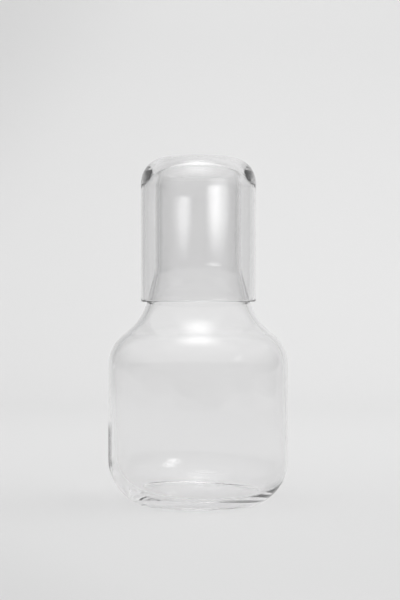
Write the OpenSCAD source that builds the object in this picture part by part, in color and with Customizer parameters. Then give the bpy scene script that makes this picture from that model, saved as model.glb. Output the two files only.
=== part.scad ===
// Bedside carafe with its tumbler, which sits upside down over the neck as a lid.
// Both are blown shapes turned about one upright axis, and the carafe stands on z = 0.

/* [Carafe body] */
// Outer diameter of the body
body_d = 105; // [99:0.5:112]
// Thickness of the body's wall
body_wall = 2.8; // [2:0.1:3.8]
// Height at which the straight wall turns into the shoulder
shoulder_z = 79.9; // [65:0.1:95]
// Radius of the shoulder's outward curve
shoulder_r = 23.5; // [19:0.1:28]
// Radius of the hollow curve that carries the shoulder up to the flare
throat_r = 32.6; // [28:0.1:38]

/* [Carafe base] */
// Thickness of the base, from the table to the floor inside
base_t = 3.4; // [3:0.1:6]
// Radius of the long outer curve of the heel
heel_r = 28.1; // [25:0.1:31]
// Radius of the tighter curve between the heel and the foot
foot_round_r = 3.7; // [2:0.1:6]
// Diameter of the flat foot that the carafe stands on
foot_d = 71.3; // [66:0.1:78]
// Radius of the curve between the floor inside and the wall
inner_heel_r = 24; // [22:0.5:27]

/* [Carafe neck] */
// Thickness of the neck's wall
neck_wall = 1.9; // [1.4:0.1:2.5]
// Height of the flare, from the level of the tumbler's rim up to the straight neck
flare_h = 22.3; // [18:0.1:28]
// Radius of the bend between the flare and the straight neck
neck_bend_r = 30; // [18:0.5:36]

/* [Tumbler] */
// Outer diameter of the tumbler
tumbler_d = 67.2; // [58:0.2:78]
// Height of the tumbler
tumbler_h = 84.1; // [70:0.1:98]
// Thickness of the tumbler's wall
tumbler_wall = 1.9; // [1.4:0.1:2.5]
// Thickness of the tumbler's base
tumbler_base_t = 4; // [3:0.1:6]
// Outer radius between the tumbler's wall and its base
tumbler_heel_r = 14.6; // [12:0.1:17]
// Inner radius between the tumbler's wall and its base
tumbler_in_heel_r = 14; // [11:0.1:16]

/* [Seat] */
// Gap between the tumbler's wall and the straight neck
neck_gap = 6.6; // [5:0.1:8]
// Gap between the tumbler's wall and the flare, at the tumbler's rim
rim_gap = 1.6; // [0.8:0.1:2.4]
// Gap between the carafe's lip and the inner curve of the tumbler's base
seat_gap = 0.2; // [0.1:0.05:0.5]

/* [Hidden] */
$fn = 240;
// Clear glass with a faint cool cast
glass_color = [0.86, 0.89, 0.89, 0.4];
// How far a cut runs past what it cuts
overrun = 5;
// Hair by which neighbouring curves overlap, so that they cross instead of only touching
weld = 0.001;
// Angle by which a slice runs on under its neighbour
run_on_a = 2;
// How far a slice's wedge reaches, as a share of its radius
wedge_share = 1.6;

// The tumbler sets the neck: its wall, less a gap, is what the neck and the flare fit inside
body_r = body_d / 2;
body_in_r = body_r - body_wall;
tumbler_r = tumbler_d / 2;
tumbler_in_r = tumbler_r - tumbler_wall;
tumbler_lip_r = tumbler_wall / 2;
neck_r = tumbler_in_r - neck_gap;
neck_in_r = neck_r - neck_wall;
lip_r = neck_wall / 2;

// Flare: a straight slope from the rim's level that runs tangent into the neck's bend
flare_r = tumbler_in_r - rim_gap;
bend_to_flare = [neck_r + neck_bend_r - flare_r, flare_h];
flare_a = asin(neck_bend_r / norm(bend_to_flare)) - atan2(bend_to_flare.x, bend_to_flare.y);

// Shoulder and throat: two arcs that meet on one tangent, at turn_a from upright
turn_a = acos((flare_r - body_r + shoulder_r + throat_r * cos(flare_a)) / (shoulder_r + throat_r));
rim_z = shoulder_z + (shoulder_r + throat_r) * sin(turn_a) - throat_r * sin(flare_a);
shoulder_c = [body_r - shoulder_r, shoulder_z];
throat_c = [flare_r, rim_z] + throat_r * ray(flare_a);
bend_c = [neck_r + neck_bend_r, rim_z + flare_h];

// Inside, the slope is the common tangent of the throat and the bend, so the wall thins into the neck
throat_in_r = throat_r + body_wall;
bend_in_r = neck_bend_r + neck_wall;
throat_to_bend = bend_c - throat_c;
flare_in_a = atan2(-throat_to_bend.x, throat_to_bend.y)
    + asin((bend_in_r - throat_in_r) / norm(throat_to_bend));

// Heel and foot: two arcs that meet on one tangent, at heel_a below level
heel_a = acos((foot_d / 2 - body_r + heel_r) / (heel_r - foot_round_r));
heel_c = [foot_d / 2, foot_round_r] - (heel_r - foot_round_r) * ray(-heel_a);
foot_c = [foot_d / 2 + weld / cos(heel_a), foot_round_r];
inner_heel_c = [body_in_r - inner_heel_r, base_t + inner_heel_r];

// Tumbler, base up, with its rim at the foot of the flare
tumbler_top_z = rim_z + tumbler_h;
tumbler_in_top_z = tumbler_top_z - tumbler_base_t;
tumbler_heel_c = [tumbler_r - tumbler_heel_r, tumbler_top_z - tumbler_heel_r];
tumbler_lip_c = [tumbler_r - tumbler_lip_r, rim_z + tumbler_lip_r];
tumbler_in_heel_c = [tumbler_in_r - tumbler_in_heel_r, tumbler_in_top_z - tumbler_in_heel_r];

// Seat: the neck is as tall as lets its round lip nest in that inner curve
seat_x = max(0, neck_r - lip_r - tumbler_in_heel_c.x);
seat_r = tumbler_in_heel_r - lip_r - seat_gap;
lip_c = [neck_r - lip_r, tumbler_in_heel_c.y + sqrt(seat_r * seat_r - seat_x * seat_x)];

// Direction at angle a from the outward axis
function ray(a) = [cos(a), sin(a)];

// Slice of a disc about c, between the angles a0 and a1
module slice(c, r, a0, a1) {
    translate(c)
        intersection() {
            circle(r);
            polygon([[0, 0], wedge_share * r * ray(a0), wedge_share * r * ray(a1)]);
        }
}

// Half of the carafe's section as if it were solid
module carafe_outside() {
    difference() {
        union() {
            polygon([
                [0, 0],
                [foot_c.x, 0],
                heel_c + heel_r * ray(-heel_a),
                [body_r, heel_c.y],
                [body_r, shoulder_z],
                shoulder_c + shoulder_r * ray(turn_a),
                throat_c - throat_r * ray(flare_a),
                bend_c - neck_bend_r * ray(flare_a),
                [neck_r, bend_c.y],
                [neck_r, lip_c.y],
                [0, lip_c.y]
            ]);
            slice(foot_c, foot_round_r, -90 - run_on_a, -heel_a + run_on_a);
            slice(heel_c, heel_r, -heel_a, run_on_a);
            slice(shoulder_c, shoulder_r, -run_on_a, turn_a + run_on_a);
        }
        slice(throat_c, throat_r + weld, 180 + flare_a - run_on_a, 180 + turn_a + run_on_a);
        slice(bend_c, neck_bend_r + weld, 180 - run_on_a, 180 + flare_a + run_on_a);
    }
}

// Half of the space inside the carafe, open at the top
module carafe_inside() {
    difference() {
        union() {
            polygon([
                [0, base_t],
                [inner_heel_c.x, base_t],
                [body_in_r, inner_heel_c.y],
                [body_in_r, shoulder_z],
                shoulder_c + (shoulder_r - body_wall) * ray(turn_a),
                throat_c - throat_in_r * ray(flare_in_a),
                bend_c - bend_in_r * ray(flare_in_a),
                [neck_in_r, bend_c.y],
                [neck_in_r, lip_c.y + overrun],
                [0, lip_c.y + overrun]
            ]);
            slice(inner_heel_c, inner_heel_r, -90 - run_on_a, run_on_a);
            slice(shoulder_c, shoulder_r - body_wall, -run_on_a, turn_a + run_on_a);
        }
        slice(throat_c, throat_in_r + weld, 180 + flare_in_a - run_on_a, 180 + turn_a + run_on_a);
        slice(bend_c, bend_in_r + weld, 180 - run_on_a, 180 + flare_in_a + run_on_a);
    }
}

// Blown bottle: even wall round the heel, thin neck and a fire-polished lip
module carafe() {
    color(glass_color)
        rotate_extrude() {
            difference() {
                carafe_outside();
                carafe_inside();
            }
            translate(lip_c)
                circle(lip_r);
        }
}

// Half of the tumbler's section as if it were solid, base up
module tumbler_outside() {
    polygon([
        [0, tumbler_lip_c.y],
        [tumbler_r, tumbler_lip_c.y],
        [tumbler_r, tumbler_heel_c.y],
        [tumbler_heel_c.x, tumbler_top_z],
        [0, tumbler_top_z]
    ]);
    slice(tumbler_heel_c, tumbler_heel_r, -run_on_a, 90 + run_on_a);
}

// Half of the space inside the tumbler, open at the bottom
module tumbler_inside() {
    polygon([
        [0, rim_z - overrun],
        [tumbler_in_r, rim_z - overrun],
        [tumbler_in_r, tumbler_in_heel_c.y],
        [tumbler_in_heel_c.x, tumbler_in_top_z],
        [0, tumbler_in_top_z]
    ]);
    slice(tumbler_in_heel_c, tumbler_in_heel_r, -run_on_a, 90 + run_on_a);
}

// Drinking glass, upside down with the inner curve of its base resting on the lip
module tumbler() {
    color(glass_color)
        rotate_extrude() {
            difference() {
                tumbler_outside();
                tumbler_inside();
            }
            translate(tumbler_lip_c)
                circle(tumbler_lip_r);
        }
}

carafe();
tumbler();
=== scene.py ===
import bpy
import bmesh
from math import acos, asin, atan2, cos, degrees, hypot, pi, radians, sin, sqrt, tan
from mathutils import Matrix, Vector


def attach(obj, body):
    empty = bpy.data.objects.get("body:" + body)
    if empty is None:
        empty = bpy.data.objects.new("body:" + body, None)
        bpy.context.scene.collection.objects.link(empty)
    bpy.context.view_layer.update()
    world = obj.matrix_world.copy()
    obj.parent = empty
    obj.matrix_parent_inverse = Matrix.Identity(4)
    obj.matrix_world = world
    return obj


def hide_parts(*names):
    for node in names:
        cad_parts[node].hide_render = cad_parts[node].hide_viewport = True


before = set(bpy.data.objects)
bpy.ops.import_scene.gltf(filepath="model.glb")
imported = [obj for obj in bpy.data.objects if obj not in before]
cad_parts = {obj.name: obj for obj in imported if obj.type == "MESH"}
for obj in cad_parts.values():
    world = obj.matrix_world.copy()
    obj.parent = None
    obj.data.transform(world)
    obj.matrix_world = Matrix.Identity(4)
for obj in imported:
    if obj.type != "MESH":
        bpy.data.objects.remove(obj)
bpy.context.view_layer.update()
scene = bpy.context.scene
mm = 0.001
weld = 0.002 * mm  # points nearer to each other than this are one
print("frame:", sorted(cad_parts))


# A pen draws half a section in the XZ plane, from one vertex
def startPen(r, z):
    bm = bmesh.new()
    return {"mesh": bm, "tip": bm.verts.new((r, 0, z))}


def straightTo(pen, r, z, collar):
    start = pen["tip"].co.copy()
    run = Vector((r, 0, z)) - start
    stops = [1.0]
    if run.length > 3 * collar:  # a short face at each end keeps the long one's shading true
        stops = [collar / run.length, 1 - collar / run.length, 1.0]
    for share in stops:
        pen["tip"] = bmesh.ops.extrude_vert_indiv(pen["mesh"], verts=[pen["tip"]])["verts"][0]
        pen["tip"].co = start + run * share


def turnAbout(pen, centre, turn, step):
    steps = max(4, round(abs(turn) / step))  # a slight turn is round too
    made = bmesh.ops.spin(
        pen["mesh"], geom=[pen["tip"]], cent=(centre[0], 0, centre[1]), axis=(0, -1, 0),
        angle=radians(turn), steps=steps, use_duplicate=False)
    pen["tip"] = next(v for v in made["geom_last"] if isinstance(v, bmesh.types.BMVert))


# Blown glass is never quite even: low down, the hollow sits to one side and dips there
def moveHollow(bm, uneven):
    bm.normal_update()
    towards = Vector((cos(radians(uneven["towards"])), sin(radians(uneven["towards"])), 0))
    middle = Vector((0, 0, uneven["startHeight"]))
    for vert in bm.verts:
        if vert.co.z < uneven["startHeight"] and vert.normal.dot(vert.co - middle) < 0:
            share = min(1, (uneven["startHeight"] - vert.co.z) / uneven["fade"])
            share *= share * (3 - 2 * share)
            dip = uneven["dip"] * vert.co.dot(towards)
            vert.co += (towards * uneven["shift"] - Vector((0, 0, dip))) * share


def turnOnLathe(name, pen, steps, body, node, uneven=None):
    bm = pen["mesh"]
    bmesh.ops.spin(
        bm, geom=bm.verts[:] + bm.edges[:], cent=(0, 0, 0), axis=(0, 0, 1),
        angle=2 * pi, steps=steps, use_merge=True)
    bmesh.ops.remove_doubles(bm, verts=bm.verts, dist=weld)
    bmesh.ops.recalc_face_normals(bm, faces=bm.faces)
    if uneven:
        moveHollow(bm, uneven)
    for face in bm.faces:
        face.smooth = True
    mesh = bpy.data.meshes.new(name)
    bm.to_mesh(mesh)
    bm.free()
    piece = bpy.data.objects.new(name, mesh)
    scene.collection.objects.link(piece)
    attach(piece, body)
    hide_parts(node)
    print(name, len(mesh.polygons), "faces")
    return piece


# Carafe, sizes in metres and steps in degrees
carafe = {
    "bodyRadius": 52.5 * mm,
    "bodyWall": 2.8 * mm,
    "shoulderHeight": 79.9 * mm,
    "shoulderRadius": 23.5 * mm,
    "throatRadius": 32.6 * mm,
    "baseThickness": 3.4 * mm,
    "heelRadius": 28.1 * mm,
    "footRound": 3.7 * mm,
    "footRadius": 35.65 * mm,
    "innerHeel": 22 * mm,
    "neckRadius": 25.1 * mm,
    "neckWall": 1.9 * mm,
    "flareHeight": 22.3 * mm,
    "neckBend": 30 * mm,
    "arcStep": 2.2,
    "lipStep": 11,
    "collar": 1.2 * mm,
    "turns": 176,
}

# How its hollow differs from a true turned shape
unevenBase = {
    "towards": 12,
    "shift": 1.4 * mm,
    "dip": 0.02,
    "startHeight": 60 * mm,
    "fade": 45 * mm,
}

# Tumbler, upside down over the neck
tumbler = {
    "radius": 33.6 * mm,
    "height": 84.1 * mm,
    "wall": 1.9 * mm,
    "base": 4 * mm,
    "heelRadius": 14.6 * mm,
    "innerHeel": 14 * mm,
    "rimGap": 1.6 * mm,
    "seatGap": 0.2 * mm,
    "arcStep": 2.2,
    "lipStep": 11,
    "collar": 1.2 * mm,
    "turns": 160,
}


# Where the curves of the two sections meet, from the sizes above
def sectionPoints(c, t):
    flareRadius = t["radius"] - t["wall"] - t["rimGap"]
    across = c["neckRadius"] + c["neckBend"] - flareRadius
    flare = asin(c["neckBend"] / hypot(across, c["flareHeight"])) - atan2(across, c["flareHeight"])
    curves = c["shoulderRadius"] + c["throatRadius"]
    inset = flareRadius - c["bodyRadius"] + c["shoulderRadius"] + c["throatRadius"] * cos(flare)
    turn = acos(inset / curves)
    rim = c["shoulderHeight"] + curves * sin(turn) - c["throatRadius"] * sin(flare)
    throat = (flareRadius + c["throatRadius"] * cos(flare), rim + c["throatRadius"] * sin(flare))
    bend = (c["neckRadius"] + c["neckBend"], rim + c["flareHeight"])
    slope = (bend[0] - throat[0], bend[1] - throat[1])
    thinner = c["neckBend"] + c["neckWall"] - c["throatRadius"] - c["bodyWall"]
    flareInside = atan2(-slope[0], slope[1]) + asin(thinner / hypot(*slope))
    heelGap = c["heelRadius"] - c["footRound"]
    heel = acos((c["footRadius"] - c["bodyRadius"] + c["heelRadius"]) / heelGap)
    heelCentre = (c["footRadius"] - heelGap * cos(heel), c["footRound"] + heelGap * sin(heel))
    top = rim + t["height"]
    innerCorner = (t["radius"] - t["wall"] - t["innerHeel"], top - t["base"] - t["innerHeel"])
    lip = c["neckWall"] / 2
    seatReach = t["innerHeel"] - lip - t["seatGap"]  # the lip nests in the tumbler's inner curve
    lipHeight = innerCorner[1] + sqrt(seatReach ** 2 - (c["neckRadius"] - lip - innerCorner[0]) ** 2)
    return {
        "rim": rim, "top": top, "lip": lip, "lipHeight": lipHeight, "innerCorner": innerCorner,
        "flare": degrees(flare), "flareInside": degrees(flareInside),
        "turn": degrees(turn), "heel": degrees(heel), "heelCentre": heelCentre,
        "shoulder": (c["bodyRadius"] - c["shoulderRadius"], c["shoulderHeight"]),
        "throat": throat, "bend": bend,
    }


def polar(centre, radius, angle):
    return (centre[0] + radius * cos(radians(angle)), centre[1] + radius * sin(radians(angle)))


def drawCarafe(c, t):
    at = sectionPoints(c, t)
    step, collar = c["arcStep"], c["collar"]
    pen = startPen(0, 0)
    straightTo(pen, c["footRadius"], 0, collar)
    turnAbout(pen, (c["footRadius"], c["footRound"]), 90 - at["heel"], step)
    turnAbout(pen, at["heelCentre"], at["heel"], step)
    straightTo(pen, c["bodyRadius"], c["shoulderHeight"], collar)
    turnAbout(pen, at["shoulder"], at["turn"], step)
    turnAbout(pen, at["throat"], at["flare"] - at["turn"], step)
    straightTo(pen, *polar(at["bend"], -c["neckBend"], at["flare"]), collar)
    turnAbout(pen, at["bend"], -at["flare"], step)
    straightTo(pen, c["neckRadius"], at["lipHeight"], collar)
    turnAbout(pen, (c["neckRadius"] - at["lip"], at["lipHeight"]), 180, c["lipStep"])
    # and back down inside
    bendInside = c["neckBend"] + c["neckWall"]
    throatInside = c["throatRadius"] + c["bodyWall"]
    floorRadius = c["bodyRadius"] - c["bodyWall"] - c["innerHeel"]
    innerHeelCentre = (floorRadius, c["baseThickness"] + c["innerHeel"])
    straightTo(pen, c["neckRadius"] - c["neckWall"], at["bend"][1], collar)
    turnAbout(pen, at["bend"], at["flareInside"], step)
    straightTo(pen, *polar(at["throat"], -throatInside, at["flareInside"]), collar)
    turnAbout(pen, at["throat"], at["turn"] - at["flareInside"], step)
    turnAbout(pen, at["shoulder"], -at["turn"], step)
    straightTo(pen, c["bodyRadius"] - c["bodyWall"], innerHeelCentre[1], collar)
    turnAbout(pen, innerHeelCentre, -90, step)
    straightTo(pen, 0, c["baseThickness"], collar)
    return pen


def drawTumbler(c, t):
    at = sectionPoints(c, t)
    step, collar = t["arcStep"], t["collar"]
    lip = t["wall"] / 2
    corner = t["radius"] - t["heelRadius"]
    pen = startPen(0, at["top"])
    straightTo(pen, corner, at["top"], collar)
    turnAbout(pen, (corner, at["top"] - t["heelRadius"]), -90, step)
    straightTo(pen, t["radius"], at["rim"] + lip, collar)
    turnAbout(pen, (t["radius"] - lip, at["rim"] + lip), -180, t["lipStep"])
    straightTo(pen, t["radius"] - t["wall"], at["innerCorner"][1], collar)
    turnAbout(pen, at["innerCorner"], 90, step)
    straightTo(pen, 0, at["top"] - t["base"], collar)
    return pen


carafePiece = turnOnLathe(
    "carafe_body", drawCarafe(carafe, tumbler), carafe["turns"],
    "carafe", "carafe", unevenBase)
tumblerPiece = turnOnLathe(
    "tumbler_body", drawTumbler(carafe, tumbler), tumbler["turns"],
    "tumbler", "tumbler")


# Small helpers for node trees
def addNode(tree, kind, **settings):
    node = tree.nodes.new(kind)
    for key, value in settings.items():
        setattr(node, key, value)
    return node


def plug(tree, socket, value):
    if isinstance(value, bpy.types.NodeSocket):
        tree.links.new(value, socket)
    elif value is not None:
        socket.default_value = value


def mathNode(tree, operation, first, second=None):
    node = addNode(tree, "ShaderNodeMath", operation=operation)
    plug(tree, node.inputs[0], first)
    plug(tree, node.inputs[1], second)
    return node.outputs[0]


def product(tree, first, *others):
    for other in others:
        first = mathNode(tree, "MULTIPLY", first, other)
    return first


def reachNode(tree, first, second):
    squares = [mathNode(tree, "POWER", side, 2.0) for side in (first, second)]
    return mathNode(tree, "SQRT", mathNode(tree, "ADD", *squares))


def turnNode(tree, aside, ahead):
    return mathNode(tree, "DEGREES", mathNode(tree, "ARCTAN2", aside, ahead))


def rangeNode(tree, value, fromMin, fromMax, toMin=0.0, toMax=1.0, smooth=True):
    node = addNode(tree, "ShaderNodeMapRange", interpolation_type="SMOOTHSTEP" if smooth else "LINEAR")
    plug(tree, node.inputs["Value"], value)
    for name, number in (("From Min", fromMin), ("From Max", fromMax), ("To Min", toMin), ("To Max", toMax)):
        node.inputs[name].default_value = number
    return node.outputs["Result"]


def noiseNode(tree, vector, scale, detail, stretch=None):
    if stretch:
        mapping = addNode(tree, "ShaderNodeMapping")
        mapping.inputs["Scale"].default_value = stretch
        plug(tree, mapping.inputs["Vector"], vector)
        vector = mapping.outputs["Vector"]
    node = addNode(tree, "ShaderNodeTexNoise")
    plug(tree, node.inputs["Vector"], vector)
    node.inputs["Scale"].default_value = scale
    node.inputs["Detail"].default_value = detail
    return node.outputs["Fac"]


# Fine noise that runs from one level to another
def grainNode(tree, position, scale, low, high):
    return rangeNode(tree, noiseNode(tree, position, scale, 2.0), 0.3, 0.7, low, high)


def mixColour(tree, factor, first, second):
    node = addNode(tree, "ShaderNodeMix", data_type="RGBA")
    plug(tree, node.inputs["Factor"], factor)
    plug(tree, node.inputs[6], first)
    plug(tree, node.inputs[7], second)
    return node.outputs[2]


def objectPosition(tree):
    return addNode(tree, "ShaderNodeTexCoord").outputs["Object"]


def axesOf(tree, vector):
    axes = addNode(tree, "ShaderNodeSeparateXYZ")
    plug(tree, axes.inputs[0], vector)
    return axes.outputs


# Blown glass: slow upright cords in the surface, a slight drift in its cast, rubbed where it stands
glass = {
    "paleCast": (0.975, 0.974, 0.975, 1),
    "deepCast": (0.969, 0.968, 0.97, 1),
    "driftScale": 16.0,
    "driftRange": (0.35, 0.65),
    "ior": 1.5,
    "cordStretch": (1.0, 1.0, 0.22),
    "cordScale": 34.0,
    "rippleScale": 90.0,
    "rippleShare": 0.2,
    "relief": 0.006 * mm,
    "scratchScale": 1500.0,
    "scratchRange": (0.5, 0.72),
    "scratchRoughness": 0.3,
    "clearAt": 0.5 * mm,  # from the face that it stands on
    "rubbedAt": 0.1 * mm,
}


def makeBlownGlassGroup():
    group = bpy.data.node_groups.new("blown_glass", "ShaderNodeTree")
    sockets = (
        ("Position", "INPUT", "NodeSocketVector"), ("Rubbed", "INPUT", "NodeSocketFloat"),
        ("Cast", "OUTPUT", "NodeSocketColor"), ("Roughness", "OUTPUT", "NodeSocketFloat"),
        ("Height", "OUTPUT", "NodeSocketFloat"))
    for name, way, kind in sockets:
        group.interface.new_socket(name=name, in_out=way, socket_type=kind)
    source = addNode(group, "NodeGroupInput")
    result = addNode(group, "NodeGroupOutput")
    position = source.outputs["Position"]
    cords = noiseNode(group, position, glass["cordScale"], 1.0, glass["cordStretch"])
    ripple = noiseNode(group, position, glass["rippleScale"], 1.0)
    height = mathNode(group, "ADD", product(group, ripple, glass["rippleShare"]), cords)
    drift = rangeNode(group, noiseNode(group, position, glass["driftScale"], 2.0), *glass["driftRange"])
    cast = mixColour(group, drift, glass["paleCast"], glass["deepCast"])
    scratches = noiseNode(group, position, glass["scratchScale"], 3.0)
    scratches = rangeNode(group, scratches, *glass["scratchRange"])
    rough = product(group, scratches, source.outputs["Rubbed"], glass["scratchRoughness"])
    plug(group, result.inputs["Cast"], cast)
    plug(group, result.inputs["Roughness"], rough)
    plug(group, result.inputs["Height"], height)
    return group


blownGlass = makeBlownGlassGroup()


def makeGlass(name, piece, clearAt, rubbedAt):
    material = bpy.data.materials.new(name)
    material.use_nodes = True
    tree = material.node_tree
    shader = tree.nodes["Principled BSDF"]
    position = objectPosition(tree)
    effect = addNode(tree, "ShaderNodeGroup", node_tree=blownGlass)
    plug(tree, effect.inputs["Position"], position)
    plug(tree, effect.inputs["Rubbed"], rangeNode(tree, axesOf(tree, position)["Z"], clearAt, rubbedAt))
    bump = addNode(tree, "ShaderNodeBump")
    bump.inputs["Strength"].default_value = 1.0
    bump.inputs["Distance"].default_value = glass["relief"]
    plug(tree, bump.inputs["Height"], effect.outputs["Height"])
    plug(tree, shader.inputs["Base Color"], effect.outputs["Cast"])
    plug(tree, shader.inputs["Roughness"], effect.outputs["Roughness"])
    plug(tree, shader.inputs["Normal"], bump.outputs["Normal"])
    shader.inputs["IOR"].default_value = glass["ior"]
    shader.inputs["Transmission Weight"].default_value = 1.0
    piece.data.materials.append(material)


tumblerTop = sectionPoints(carafe, tumbler)["top"]
makeGlass("carafe_glass", carafePiece, glass["clearAt"], glass["rubbedAt"])
makeGlass("tumbler_glass", tumblerPiece, tumblerTop - glass["clearAt"], tumblerTop - glass["rubbedAt"])
print("glass made")

# Paper sweep, a table top that runs up into a backdrop
sweep = {
    "front": -1.25,
    "side": 1.6,
    "back": 1.3,
    "cove": 0.5,
    "coveSteps": 24,
    "top": 2.2,
    "drop": 0.2 * mm,  # just below the foot, so that the two faces don't fight
}


def newEdges(geom):
    return [e for e in geom if isinstance(e, bmesh.types.BMEdge)]


def pull(bm, edges, offset):
    geom = bmesh.ops.extrude_edge_only(bm, edges=edges)["geom"]
    bmesh.ops.translate(bm, verts=[v for v in geom if isinstance(v, bmesh.types.BMVert)], vec=offset)
    return newEdges(geom)


# An object that is part of the studio, not of the part
def stagePiece(name, bm, material):
    mesh = bpy.data.meshes.new(name)
    bm.to_mesh(mesh)
    bm.free()
    mesh.materials.append(material)
    piece = bpy.data.objects.new(name, mesh)
    scene.collection.objects.link(piece)
    print(name, len(mesh.polygons), "faces")
    return piece


def drawSweep():
    bm = bmesh.new()
    ends = [bm.verts.new((x, sweep["front"], -sweep["drop"])) for x in (-sweep["side"], sweep["side"])]
    coveStart = sweep["back"] - sweep["cove"]
    edge = pull(bm, [bm.edges.new(ends)], (0, coveStart - sweep["front"], 0))
    made = bmesh.ops.spin(
        bm, geom=edge + list(edge[0].verts), cent=(0, coveStart, sweep["cove"] - sweep["drop"]),
        axis=(1, 0, 0), angle=pi / 2, steps=sweep["coveSteps"], use_duplicate=False)
    pull(bm, newEdges(made["geom_last"]), (0, 0, sweep["top"] - sweep["cove"]))
    for face in bm.faces:
        face.smooth = True
    return bm


# Its paper. Falls of light are painted into its colour: each painted fall has a start, an end and the level
# that it falls to
paper = {
    "tone": 0.8,
    "grainScale": 700.0,
    "grain": 0.012,
    "toothScale": 300.0,
    "toothRoughness": (0.85, 0.95),
    "nearer": (0.5, -0.45, 0.89),
    "left": (0.1, -0.35, 0.96),
    "upperLeft": (0.36, 0.66, 0.9),
    "upperSlant": 0.6,
    "upperHeights": (0.0, 0.2),
    "nearLeft": (0.14, 0.23, 0.945),
    "nearSlant": -0.5,
}

# In front the light stops at an edge that is nearer in the middle, where the camera stands in the way; the
# shade past it is painted into the paper's colour
paintedLitEdge = {
    "turns": (18, 46),
    "reaches": (0.83, 1.13),  # from the object, at those turns
    "lastTurns": (70, 95),  # further round there is no edge
    "lastReach": 5.0,
    "blur": (-0.015, 0.02),
    "level": 0.5,
}

# The backdrop's sides, out of the picture, are painted dimmer
paintedDimSides = {
    "middle": 0.03,
    "from": (0.3, 0.45),
    "depths": (0.3, 0.6),
    "level": 0.91,
    "farFrom": (0.8, 1.0),
    "farLevel": 0.85,
}

# A dark patch is painted on the paper to the left of the object as a painted dark reflection, and shows only
# where the glass there is seen edge on
paintedSidePatch = {
    "corner": 0.05,
    "nearEnd": (0.1, 0.16),
    "farEnd": (0.62, 0.45),
    "rightSide": (1, 7),
    "leftSide": (40, 31),
    "level": 0.05,
}


def makePaper():
    material = bpy.data.materials.new("sweep_paper")
    material.use_nodes = True
    tree = material.node_tree
    shader = tree.nodes["Principled BSDF"]
    position = objectPosition(tree)
    across, depth, height = axesOf(tree, position)

    def paintedFallNode(value, start, end, level):
        return rangeNode(tree, value, start, end, 1.0, level)

    upperLeft = mathNode(tree, "SUBTRACT", product(tree, height, paper["upperSlant"]), across)
    upperLeft = product(tree, upperLeft, rangeNode(tree, height, *paper["upperHeights"]))
    nearLeft = mathNode(tree, "SUBTRACT", product(tree, depth, paper["nearSlant"]), across)
    # painted falls of light: darker nearer the camera, to the left, at the upper left and in the near left
    # corner; the grain is the paper's own
    levels = [
        paintedFallNode(depth, *paper["nearer"]),
        paintedFallNode(across, *paper["left"]),
        paintedFallNode(upperLeft, *paper["upperLeft"]),
        paintedFallNode(nearLeft, *paper["nearLeft"]),
        grainNode(tree, position, paper["grainScale"], 1 - paper["grain"], 1.0),
    ]
    # painted shade past the lit edge
    turned = turnNode(tree, mathNode(tree, "ABSOLUTE", across), product(tree, depth, -1.0))
    litReach = rangeNode(tree, turned, *paintedLitEdge["turns"], *paintedLitEdge["reaches"])
    noEdge = rangeNode(tree, turned, *paintedLitEdge["lastTurns"], 0.0, paintedLitEdge["lastReach"])
    past = mathNode(tree, "SUBTRACT", reachNode(tree, across, depth), mathNode(tree, "ADD", litReach, noEdge))
    paintedUnlit = rangeNode(tree, past, *paintedLitEdge["blur"])
    # painted dimming of the sides
    aside = mathNode(tree, "ABSOLUTE", mathNode(tree, "SUBTRACT", across, paintedDimSides["middle"]))
    paintedDim = product(
        tree, rangeNode(tree, aside, *paintedDimSides["from"]), rangeNode(tree, depth, *paintedDimSides["depths"]))
    paintedFarDim = rangeNode(tree, aside, *paintedDimSides["farFrom"])
    # painted dark patch at the side
    beside = mathNode(tree, "ADD", across, paintedSidePatch["corner"])
    patchReach = reachNode(tree, beside, depth)
    patchTurn = turnNode(tree, product(tree, beside, -1.0), depth)
    paintedDarkPatch = product(
        tree,
        rangeNode(tree, patchReach, *paintedSidePatch["nearEnd"]), rangeNode(tree, patchReach, *paintedSidePatch["farEnd"]),
        rangeNode(tree, patchTurn, *paintedSidePatch["leftSide"]), rangeNode(tree, patchTurn, *paintedSidePatch["rightSide"]))
    # these three painted shades show in the glass alone
    path = addNode(tree, "ShaderNodeLightPath").outputs
    inGlass = mathNode(tree, "MAXIMUM", path["Is Transmission Ray"], path["Is Glossy Ray"])
    mirrored = mathNode(tree, "GREATER_THAN", path["Is Glossy Ray"], path["Is Transmission Ray"])
    everMirrored = mathNode(tree, "MINIMUM", path["Glossy Depth"], 1.0)
    shows = (
        (paintedUnlit, everMirrored, paintedLitEdge["level"]), (paintedDim, inGlass, paintedDimSides["level"]),
        (paintedFarDim, inGlass, paintedDimSides["farLevel"]), (paintedDarkPatch, mirrored, paintedSidePatch["level"]))
    for share, rays, level in shows:
        levels.append(rangeNode(tree, product(tree, share, rays), 0.0, 1.0, 1.0, level, smooth=False))
    # the paper's tone, times its grain and the painted shades
    plug(tree, shader.inputs["Base Color"], product(tree, paper["tone"], *levels))
    tooth = grainNode(tree, position, paper["toothScale"], *paper["toothRoughness"])
    plug(tree, shader.inputs["Roughness"], tooth)
    shader.inputs["Specular IOR Level"].default_value = 0.0
    return material


stagePiece("sweep", drawSweep(), makePaper())

# Flags: dark cards that lie level on both sides of the object and only show, from above, in the glass
flags = {
    "near": 0.165,
    "far": 1.0,
    "height": 0.1,
    "from": 80,
    "to": 140,
    "steps": 24,
    "tone": 0.03,
    "grainScale": 400.0,
    "grain": (0.8, 1.2),
    "roughness": 0.9,
}


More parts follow.
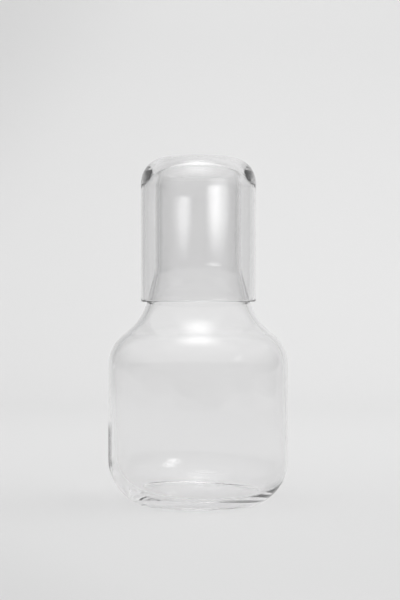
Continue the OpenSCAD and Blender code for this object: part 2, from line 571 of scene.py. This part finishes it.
def makeFlagCard():
    material = bpy.data.materials.new("flag_card")
    material.use_nodes = True
    tree = material.node_tree
    shader = tree.nodes["Principled BSDF"]
    grain = grainNode(tree, objectPosition(tree), flags["grainScale"], *flags["grain"])
    plug(tree, shader.inputs["Base Color"], product(tree, grain, flags["tone"]))
    shader.inputs["Roughness"].default_value = flags["roughness"]
    shader.inputs["Specular IOR Level"].default_value = 0.0
    neverMirrored = mathNode(
        tree, "LESS_THAN", addNode(tree, "ShaderNodeLightPath").outputs["Glossy Depth"], 0.5)
    fromBelow = addNode(tree, "ShaderNodeNewGeometry").outputs["Backfacing"]
    clear = addNode(tree, "ShaderNodeMixShader")
    plug(tree, clear.inputs["Fac"], mathNode(tree, "MAXIMUM", fromBelow, neverMirrored))
    plug(tree, clear.inputs[1], shader.outputs[0])
    plug(tree, clear.inputs[2], addNode(tree, "ShaderNodeBsdfTransparent").outputs[0])
    plug(tree, tree.nodes["Material Output"].inputs["Surface"], clear.outputs[0])
    return material


def drawFlag(side):
    bm = bmesh.new()
    a = radians(side * flags["from"])
    ends = [bm.verts.new((sin(a) * r, -cos(a) * r, flags["height"])) for r in (flags["near"], flags["far"])]
    bmesh.ops.spin(
        bm, geom=ends + [bm.edges.new(ends)], cent=(0, 0, 0), axis=(0, 0, 1),
        angle=radians(side * (flags["to"] - flags["from"])), steps=flags["steps"], use_duplicate=False)
    bm.normal_update()
    bmesh.ops.reverse_faces(bm, faces=[f for f in bm.faces if f.normal.z < 0])
    return bm


flagCard = makeFlagCard()
for side, name in ((-1, "flag_left"), (1, "flag_right")):
    flag = stagePiece(name, drawFlag(side), flagCard)
    flag.visible_camera = flag.visible_diffuse = flag.visible_shadow = False

# Room: what glass shows of the studio, and the even soft light that falls on everything else
room = {
    "softLight": 1.085,
    "shadow": 0.4,
    "shadowSide": (0.5, 0.9),
    "straight": (0.78, 0.78, 0.78, 1),  # what shows beyond the paper, bare or through the glass
    # radiance by elevation in degrees, for the camera's side, the sides and the back
    "front": [(-12, 0.36), (0, 0.39), (4, 0.34), (9, 0.48), (15, 0.54), (16, 0.66), (31, 0.75), (46, 1.05),
              (65, 1.3), (90, 1.5)],
    "side": [(-12, 0.26), (0, 0.28), (5, 0.22), (11, 0.3), (19, 0.48), (31, 0.85), (46, 0.8), (65, 1.0),
             (90, 1.5)],
    "back": [(-12, 0.6), (3, 0.62), (7, 0.6), (20, 0.6), (30, 0.65), (46, 0.8), (65, 1.0), (90, 1.5)],
    "frontEdges": (60, 85),
    "backEdges": (120, 145),
}


def elevationRamp(tree, elevation, stops):
    ramp = addNode(tree, "ShaderNodeValToRGB")
    lowest, highest = stops[0][0], stops[-1][0]
    plug(tree, ramp.inputs["Fac"], rangeNode(tree, elevation, lowest, highest, smooth=False))
    elements = ramp.color_ramp.elements
    while len(elements) < len(stops):
        elements.new(0.5)
    for element, (angle, level) in zip(elements, stops):
        element.position = (angle - lowest) / (highest - lowest)
        element.color = (level, level, level, 1)
    return ramp.outputs["Color"]


def makeRoom():
    world = bpy.data.worlds.new("studio")
    world.use_nodes = True
    tree = world.node_tree
    rightward, backward, upward = axesOf(tree, addNode(tree, "ShaderNodeTexCoord").outputs["Generated"])
    elevation = mathNode(tree, "DEGREES", mathNode(tree, "ARCSINE", upward))
    aside = mathNode(tree, "ABSOLUTE", turnNode(tree, rightward, product(tree, backward, -1.0)))
    front, side, back = (elevationRamp(tree, elevation, room[part]) for part in ("front", "side", "back"))
    colour = mixColour(tree, rangeNode(tree, aside, *room["frontEdges"]), front, side)
    colour = mixColour(tree, rangeNode(tree, aside, *room["backEdges"]), colour, back)
    path = addNode(tree, "ShaderNodeLightPath").outputs
    neverMirrored = mathNode(tree, "LESS_THAN", path["Glossy Depth"], 0.5)
    shown = addNode(tree, "ShaderNodeBackground")
    plug(tree, shown.inputs["Color"], mixColour(tree, neverMirrored, colour, room["straight"]))
    # light from the right that reaches the table through the glass is weaker, so the shadow falls to the left
    bentOff = product(tree, path["Is Transmission Ray"], rangeNode(tree, rightward, *room["shadowSide"]))
    strength = rangeNode(tree, bentOff, 0.0, 1.0, room["softLight"], room["shadow"], smooth=False)
    softLight = tree.nodes["Background"]
    softLight.inputs["Color"].default_value = (1, 1, 1, 1)
    plug(tree, softLight.inputs["Strength"], strength)
    # the room shows until a ray has met the paper
    seen = mathNode(tree, "MAXIMUM", path["Is Camera Ray"], path["Is Glossy Ray"])
    seen = mathNode(tree, "MAXIMUM", seen, path["Is Transmission Ray"])
    seen = product(tree, seen, mathNode(tree, "LESS_THAN", path["Diffuse Depth"], 0.5))
    chosen = addNode(tree, "ShaderNodeMixShader")
    plug(tree, chosen.inputs["Fac"], seen)
    plug(tree, chosen.inputs[1], softLight.outputs[0])
    plug(tree, chosen.inputs[2], shown.outputs[0])
    plug(tree, tree.nodes["World Output"].inputs["Surface"], chosen.outputs[0])
    return world


scene.world = makeRoom()
print("room: soft light", room["softLight"])

# Softboxes, placed round what they aim at: azimuth 0 is the camera's side and 90 its right
middle = (0, 0, 0.12)
overhead = {
    "azimuth": 0,
    "elevation": 82,
    "distance": 1.1,
    "width": 1.0,
    "height": 0.95,
    "radiance": 2.5,
    "core": 0.0,
    "aim": middle,
    "spread": 180,
}
key = {
    "azimuth": 45,
    "elevation": 29,
    "distance": 0.06,
    "width": 0.084,
    "height": 0.062,
    "radiance": 7.0,
    "core": 0.15,
    "aim": (0.0486, -0.0197, 0.0696),
    "spread": 34,
}
window = {
    "azimuth": 42,
    "elevation": 6.2,
    "distance": 1.4,
    "width": 1.5,
    "height": 0.22,
    "radiance": 2.7,
    "core": 0.1,
    "aim": middle,
    "spread": 180,
}


def softbox(name, box):
    lamp = bpy.data.lights.new(name, "AREA")
    lamp.shape = "RECTANGLE"
    lamp.size, lamp.size_y = box["width"], box["height"]
    lamp.energy = box["radiance"] * pi * box["width"] * box["height"]
    if box["spread"] < 180:  # a grid over the lamp narrows its light and would brighten it
        reach = radians(box["spread"] / 2)
        lamp.spread = 2 * reach
        lamp.energy *= 1 - reach / tan(reach)
    lamp.use_nodes = True
    tree = lamp.node_tree
    offset = addNode(tree, "ShaderNodeVectorMath", operation="SUBTRACT")
    offset.inputs[1].default_value = (0.5, 0.5, 0)
    plug(tree, offset.inputs[0], addNode(tree, "ShaderNodeNewGeometry").outputs["Parametric"])
    length = addNode(tree, "ShaderNodeVectorMath", operation="LENGTH")
    plug(tree, length.inputs[0], offset.outputs[0])
    fade = rangeNode(tree, length.outputs["Value"], 0.5, box["core"])
    plug(tree, tree.nodes["Emission"].inputs["Strength"], fade)
    holder = bpy.data.objects.new(name, lamp)
    scene.collection.objects.link(holder)
    a, e = radians(box["azimuth"]), radians(box["elevation"])
    away = Vector((sin(a) * cos(e), -cos(a) * cos(e), sin(e)))
    holder.location = Vector(box["aim"]) + away * box["distance"]
    holder.rotation_euler = away.to_track_quat("Z", "Y").to_euler()
    holder.visible_diffuse = False  # the even light does the lighting, this one only glints
    holder.visible_camera = False
    return holder


softbox("overhead", overhead)
softbox("key", key)
windowLamp = softbox("window", window)
onTumbler = bpy.data.collections.new("window_glints")  # the window glints on the tumbler alone
onTumbler.objects.link(tumblerPiece)
windowLamp.light_linking.receiver_collection = onTumbler
print("softboxes placed")

# Camera, level and straight on
view = {
    "lens": 90,
    "sensor": 36,
    "place": (0.94 * mm, -0.8775, 0.118),
}
camera = bpy.data.objects.new("camera", bpy.data.cameras.new("camera"))
scene.collection.objects.link(camera)
camera.data.lens = view["lens"]
camera.data.sensor_width = view["sensor"]
camera.location = view["place"]
camera.rotation_euler = (pi / 2, 0, 0)
scene.camera = camera

# Clear glass needs many bounces and unblurred reflections
glassBounces = 48
scene.cycles.max_bounces = glassBounces
scene.cycles.transmission_bounces = glassBounces
scene.cycles.glossy_bounces = glassBounces
scene.cycles.diffuse_bounces = 6
scene.cycles.blur_glossy = 0.0
scene.view_settings.view_transform = "Standard"
print("camera placed")
